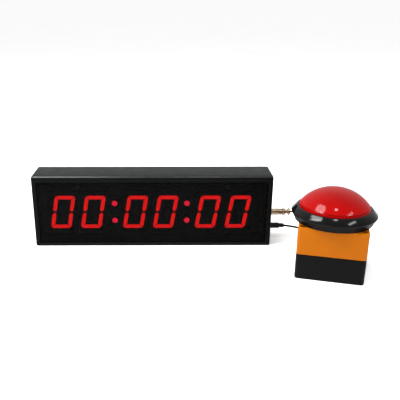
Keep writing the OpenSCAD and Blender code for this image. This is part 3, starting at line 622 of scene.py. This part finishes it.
v, f = loft(loops, closed=True)
case = make("case_shell", v, f, M["case_plastic"], replaces=("case_housing",), angle=30)
cut(case, [cyl("c1", 4.12, 150, 160, 48, axis="x", at=(0, TZ)), cyl("c2", 4.72, 150, 160, 48, axis="x", at=(0, PZ))], angle=30)
case.data.materials.clear()
case.data.materials.append(M["case_plastic"])

case.data.materials.append(M["case_front"])
case.data.materials.append(M["case_edge"])
# painted shade: faces on the front take the darker copy of the case colour
for q in case.data.polygons:
    if q.center.y < -0.0222 and q.normal.z < 0.45:
        q.material_index = 1
    # painted highlight: the front-top rounding band takes the lighter copy of the case colour
    elif q.center.y < -0.0185 and q.center.z > 0.0935 and 0.25 < q.normal.z < 0.93 and q.normal.y < -0.2:
        q.material_index = 2

# socket rims on the end
v, f = lathe([(4.75, 0.0), (6.3, 0.0), (6.3, 0.35), (6.0, 0.6), (5.0, 0.6), (4.75, 0.4)], 64, closed=True)
make("power_socket_rim", along_x(v, HX - 0.02, 0, PZ), f, M["jack_black"], angle=40)
v, f = lathe([(4.15, 0.0), (5.6, 0.0), (5.6, 0.25), (5.3, 0.45), (4.4, 0.45), (4.15, 0.3)], 64, closed=True)
make("trigger_socket_washer", along_x(v, HX - 0.02, 0, TZ), f, M["nickel"], angle=40)

# smoked window: a plate with bevelled edges held behind the frame by a flange
loops = [case_loop(-21.92, 7.5, 6.0, 10.0, 0.8), case_loop(-21.86, 7.2, 5.7, 9.7, 0.9), case_loop(-21.7, 7.0, 5.5, 9.5, 1.0), case_loop(-20.9, 7.0, 5.5, 9.5, 1.0),
         case_loop(-20.75, 6.6, 5.1, 9.1, 1.0), case_loop(-20.7, 2.9, 2.9, 2.9, 0.8), case_loop(-18.9, 2.9, 2.9, 2.9, 0.8)]
v, f = loft(loops, cap0=True, cap1=False)
make("window_plate", v, f, M["smoked_window"], replaces=("front_window",), angle=30)

# colon lamps: round lenses, each in a black sleeve
lens_v, lens_f, sl_v, sl_f = [], [], [], []
for cx in (-50.55, 45.35):
    for cz in (34.7, 58.7):
        v, f = lathe([(0, -17.9), (1.2, -17.86), (2.4, -17.7), (3.3, -17.4), (3.7, -17.1), (3.7, -8.2), (4.1, -8.1), (4.1, -7.1), (3.7, -7.0), (3.7, -6.5), (0, -6.5)], 40)
        b = len(lens_v)
        lens_v += [(cx + x_, z_, cz + y_) for x_, y_, z_ in v]
        lens_f += [tuple(i + b for i in q) for q in f]
        v, f = lathe([(3.74, -17.2), (4.3, -17.2), (4.45, -17.05), (4.45, -9.0), (3.74, -9.0)], 40, closed=True)
        b = len(sl_v)
        sl_v += [(cx + x_, z_, cz + y_) for x_, y_, z_ in v]
        sl_f += [tuple(i + b for i in q) for q in f]
lenses = make("colon_lenses", lens_v, lens_f, M["colon_lit"], replaces=("colon_lamps",), angle=50)
lenses.data.materials.append(M["lens_side"])
for q in lenses.data.polygons:
    if q.center.y > -0.0170:
        q.material_index = 1
make("colon_sleeves", sl_v, sl_f, M["digit_black"], angle=40)

# ------------------------------------------------------------------ button station
SM = Matrix.Translation((SX * MM, SY * MM, 0)) @ Matrix.Rotation(YAW, 4, "Z")


def box_loop(z_, inset, r):
    return [(x_, y_, z_) for x_, y_ in rr(-40 + inset, 40 - inset, -40 + inset, 40 - inset, r, 8)]


loops = [box_loop(0.0, 1.6, 2.6), box_loop(0.0, 1.0, 3.0), box_loop(0.25, 0.55, 3.4), box_loop(0.6, 0.2, 3.8), box_loop(1.1, 0.0, 4.0), box_loop(16.0, 0.0, 4.0), box_loop(30.6, 0.0, 4.0), box_loop(31.1, 0.12, 3.9),
         box_loop(31.35, 0.45, 3.6), box_loop(31.5, 0.8, 3.2), box_loop(31.5, 2.9, 1.2), box_loop(30.8, 3.0, 1.0), box_loop(3.2, 3.0, 1.0), box_loop(3.0, 3.4, 0.8)]
v, f = loft(loops, cap0=True, cap1=True)
base = make("station_base_shell", v, f, M["base_black"], replaces=("station_base",), matrix=SM, angle=34)
cut(base, [cyl("g0", 4.05, 36, 41, 40, matrix=SM, axis="y", at=(0, 17))] +
    [cyl("g%d" % (i + 1), 2.2, -1, 6, 24, matrix=SM, at=(31 * math.cos(a), 31 * math.sin(a))) for i, a in enumerate((0, math.pi / 2, math.pi, 3 * math.pi / 2))], angle=34)
base.data.materials.clear()
base.data.materials.append(M["base_black"])

loops = [box_loop(31.62, 3.2, 1.0), box_loop(31.62, 0.8, 3.2), box_loop(31.78, 0.4, 3.6), box_loop(32.1, 0.12, 3.9), box_loop(32.6, 0.0, 4.0), box_loop(48, 0.0, 4.0), box_loop(64.0, 0.0, 4.0), box_loop(64.6, 0.1, 3.9),
         box_loop(65.05, 0.35, 3.7), box_loop(65.35, 0.75, 3.4), box_loop(65.5, 1.3, 3.0), box_loop(65.5, 6.0, 2.0)]
v, f = loft(loops, cap1=True)
inner = [box_loop(31.62, 3.2, 1.0), box_loop(61.8, 3.2, 1.0), box_loop(62.4, 3.8, 1.0)]
vi, fi = loft(inner, cap1=True)
b = len(v)
v += vi
f += [tuple(i + b for i in q) for q in fi]
cover = make("station_cover_shell", v, f, M["cover_yellow"], replaces=("station_cover",), matrix=SM, angle=34)
cut(cover, [cyl("h%d" % i, 3.8, 60.5, 70, 40, matrix=SM, at=(sx * 34, sy * 34)) for i, (sx, sy) in enumerate(((1, 1), (1, -1), (-1, 1), (-1, -1)))] +
    [cyl("h9", 18.2, 55, 70, 64, matrix=SM)], angle=34)
cover.data.materials.clear()
cover.data.materials.append(M["cover_yellow"])

# bezel: domed upper slope, tucked lower slope, bore for the dome and threaded barrel
prof = [(10.0, 44.0), (18.0, 44.0)]
z = 45.0
while z < 64:
    prof += [(18.0, z), (17.6, z + 0.5)]
    z += 1.0
prof += [(18.0, 65.5), (46.0, 65.5), (46.3, 65.6), (46.35, 66.0), (46.5, 66.8), (47.0, 68.1), (47.9, 69.6), (48.9, 71.2), (49.7, 72.6), (50.2, 73.5), (50.42, 74.0), (50.5, 74.4),
         (50.46, 74.75), (50.3, 75.1), (44.2, 81.2), (43.8, 81.55), (43.3, 81.8), (42.6, 81.92), (42.2, 81.85), (41.95, 81.5),
         (41.9, 80.8), (41.9, 68.5), (15.5, 68.5), (15.5, 52.0), (10.0, 52.0)]
v, f = lathe(prof, 160, closed=True)
bezel = make("bezel_ring", v, f, M["bezel_black"], replaces=("bezel_barrel",), matrix=SM, angle=38)
bezel.data.materials.append(M["bezel_under"])
for q in bezel.data.polygons:
    if q.center.z < 0.0738:
        q.material_index = 1

# dome: upright skirt, small step, spherical cap, hollow inside
R, ZC = 52.4, 84.1 - math.sqrt(52.4 ** 2 - 41.4 ** 2)
prof = [(39.2, 77.9), (41.2, 77.9), (41.4, 78.15), (41.4, 83.1), (41.2, 83.45), (40.3, 83.65), (40.15, 83.9), (40.15, 84.3), (40.35, 84.6), (40.6, 84.85)]
a0 = math.asin(40.72 / R)
for i in range(0, 33):
    a = a0 * (1 - i / 32)
    prof.append((R * math.sin(a), ZC + R * math.cos(a)))
Ri = 50.2
a1 = math.asin(39.2 / Ri)
for i in range(24, -1, -1):
    a = a1 * (1 - i / 24)
    prof.append((Ri * math.sin(a), ZC + Ri * math.cos(a)))
v, f = lathe(prof, 160, closed=False)
n = 160
# close the rim between the inner and the outer wall
ring_in = [k for k in range(len(v) - n, len(v))]
ring_out = [k for k in range(n)]
for k in range(n):
    k2 = (k + 1) % n
    f.append((ring_in[k], ring_in[k2], ring_out[k2], ring_out[k]))
make("dome_cap", v, f, M["dome_red"], body="dome", replaces=("dome_lens",), matrix=SM, angle=30)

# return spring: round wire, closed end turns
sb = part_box("return_spring")
sz0, sz1 = sb[0][2] / MM + 0.7, sb[1][2] / MM - 0.7
per, turns, wire = 40, 6, 12
v, f = [], []
for i in range(turns * per + 1):
    a = 2 * math.pi * i / per
    u = min(1, max(0, (i / per - 0.8) / (turns - 1.6)))
    for j in range(wire):
        b = 2 * math.pi * j / wire
        r_ = 12.8 + 0.7 * math.cos(b)
        v.append((r_ * math.cos(a), r_ * math.sin(a), sz0 + (sz1 - sz0) * u + 0.7 * math.sin(b)))
for i in range(turns * per):
    for j in range(wire):
        j2 = (j + 1) % wire
        f.append((i * wire + j, (i + 1) * wire + j, (i + 1) * wire + j2, i * wire + j2))
f.append(tuple(range(wire)))
f.append(tuple(turns * per * wire + j for j in reversed(range(wire))))
spring = make("return_spring_wire", v, f, M["spring_steel"], replaces=("return_spring",), matrix=SM, angle=50)
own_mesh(spring)

# gland on the cord's way into the station: flange and ribbed boot
prof = [(1.2, -5.5), (5.4, -5.5), (5.4, -3.0), (3.9, -2.9), (3.9, 0.0), (5.6, 0.0), (5.95, 0.3), (6.0, 0.7), (6.0, 1.8), (5.7, 2.25), (4.4, 2.4)]
for i in range(5):
    z0 = 2.9 + i * 2.15
    k = 3.9 - i * 0.36
    prof += [(k, z0), (k, z0 + 1.0), (k - 0.45, z0 + 1.25), (k - 0.5, z0 + 1.9)]
prof += [(2.0, 13.7), (1.75, 14.0), (1.2, 14.0)]
v, f = lathe(prof, 56, closed=True)
v = [(x_, 40 + z_, 17 + y_) for x_, y_, z_ in v]
make("cord_gland", v, f, M["seal_rubber"], replaces=("cord_grommet",), matrix=SM, angle=40)

# ------------------------------------------------------------------ carried-over nodes
use = {"rear_cover": "rear_plastic", "rear_cover_screws": "steel_screw", "display_board": "circuit_board", "digit_middle_bars": "segment_dark",
       "driver_chips": "chip_black", "board_standoffs": "brass_turned", "board_screws": "steel_screw", "buzzer": "chip_black",
       "cell_holder": "chip_black", "coin_cell": "cell_steel", "remote_sensor": "sensor_red", "power_jack": "jack_black", "trigger_jack": "nickel",
       "trigger_jack_nut": "nickel", "cover_gasket": "seal_rubber", "cover_screws": "steel_screw", "dome_plunger": "diffuser_white",
       "mounting_nut": "nut_black", "lamp_holder": "diffuser_white", "lamp": "lamp_clear", "microswitch_body": "switch_black", "microswitch_lever": "spring_steel",
       "microswitch_button": "switch_red", "microswitch_terminals": "brass_turned", "power_plug_barrel": "usb_steel"}
for i in range(1, 7):
    use["digit_body_%d" % i] = "digit_black"
    use["digit_segments_%d" % i] = "segment_lit"
for name, key in use.items():
    me = NODES[name].data
    me.materials.clear()
    me.materials.append(M[key])

# ------------------------------------------------------------------ stage
fm, nt, p = new_mat("pale_floor")
v_ = coords(nt)
nt.links.new(ramp(nt, noise(nt, v_, 3, 3), [(0.3, (0.965, 0.965, 0.965)), (0.7, (0.985, 0.985, 0.985))]), p.inputs["Base Color"])
p.inputs["Roughness"].default_value = 0.9
p.inputs["Specular IOR Level"].default_value = 0.1
me = bpy.data.meshes.new("floor")
me.from_pydata([(-30, -30, 0), (30, -30, 0), (30, 30, 0), (-30, 30, 0)], [], [(0, 1, 2, 3)])
me.materials.append(fm)
floor = bpy.data.objects.new("floor", me)
COL.objects.link(floor)

world = bpy.context.scene.world or bpy.data.worlds.new("world")
bpy.context.scene.world = world
world.use_nodes = True
bg = world.node_tree.nodes.get("Background") or world.node_tree.nodes.new("ShaderNodeBackground")
bg.inputs["Color"].default_value = (1, 1, 1, 1)
wt = world.node_tree
wc = wt.nodes.new("ShaderNodeTexCoord")
ws = wt.nodes.new("ShaderNodeSeparateXYZ")
wm = wt.nodes.new("ShaderNodeMapRange")
wm.interpolation_type = "SMOOTHSTEP"
wm.inputs["From Min"].default_value = -0.35
wm.inputs["From Max"].default_value = 0.75
wm.inputs["To Min"].default_value = 0.55
wm.inputs["To Max"].default_value = 1.22
wt.links.new(wc.outputs["Generated"], ws.inputs["Vector"])
wt.links.new(ws.outputs["Y"], wm.inputs["Value"])
wz = wt.nodes.new("ShaderNodeMapRange")
wz.interpolation_type = "SMOOTHSTEP"
wz.inputs["From Min"].default_value = 0.1
wz.inputs["From Max"].default_value = 0.85
wz.inputs["To Min"].default_value = 0.66
wz.inputs["To Max"].default_value = 1.42
wt.links.new(ws.outputs["Z"], wz.inputs["Value"])
wx = wt.nodes.new("ShaderNodeMath")
wx.operation = "MULTIPLY"
wt.links.new(wm.outputs["Result"], wx.inputs[0])
wt.links.new(wz.outputs["Result"], wx.inputs[1])
wt.links.new(wx.outputs["Value"], bg.inputs["Strength"])


def area(name, direction, dist, sx, sy, radiance, target, shape="RECTANGLE"):
    d = Vector(direction).normalized()
    l = bpy.data.lights.new(name, "AREA")
    l.shape = shape
    l.size, l.size_y = sx, sy
    l.energy = radiance * math.pi * sx * sy * (math.pi / 4 if shape == "ELLIPSE" else 1)
    o = bpy.data.objects.new(name, l)
    COL.objects.link(o)
    o.location = Vector(target) + d * dist
    o.rotation_euler = d.to_track_quat("Z", "Y").to_euler()
    return o


area("key_left", (-0.55, -0.017, 0.835), 1.1, 0.52, 0.44, 27.0, (0.1945, -0.1162, 0.0884), "ELLIPSE")
area("fill_top", (-0.022, -0.301, 0.954), 1.2, 0.15, 0.15, 70.0, (0.2105, -0.1229, 0.090), "ELLIPSE")
area("side_right", (0.501, -0.407, 0.764), 1.2, 0.42, 0.11, 26.0, (0.2254, -0.1274, 0.086))
area("strip_clock", (-0.19, -0.31, 0.93), 0.5, 0.34, 0.04, 30.0, (-0.13, -0.02, 0.097))
area("panel_left", (-0.557, -0.663, 0.50), 1.1, 0.60, 0.30, 4.5, (0.19, -0.13, 0.078))
